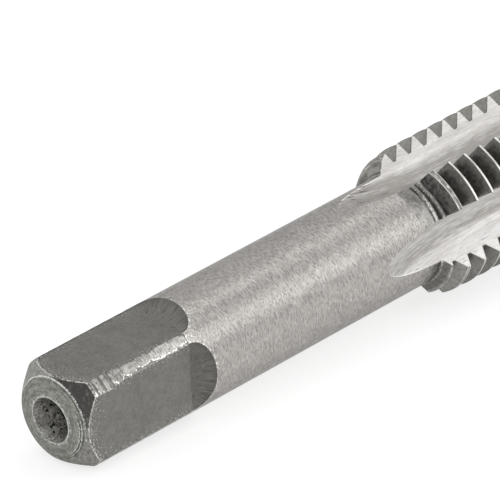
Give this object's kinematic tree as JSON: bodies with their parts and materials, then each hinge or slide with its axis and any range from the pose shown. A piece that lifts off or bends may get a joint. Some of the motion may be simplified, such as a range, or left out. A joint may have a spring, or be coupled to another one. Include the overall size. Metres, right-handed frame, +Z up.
{
  "type": "thread tap",
  "caption": "Hand tap for cutting a metric inside thread: threaded, fluted steel end on a round shank with a driving square.",
  "frame": {"origin": "on the surface the tap lies on, below the middle of its bounding box", "axes": "+X along the tap from the square end to the cutting end, which the rest pose lifts by 2.7 degrees; +Z up"},
  "size_m": [0.0672, 0.0112, 0.0121],
  "materials": {
    "tool_steel": "ground shank and flutes, dull square and thread flanks"
  },
  "bodies": {
    "root": {"thread_tap": "tool_steel"}
  },
  "joints": []
}
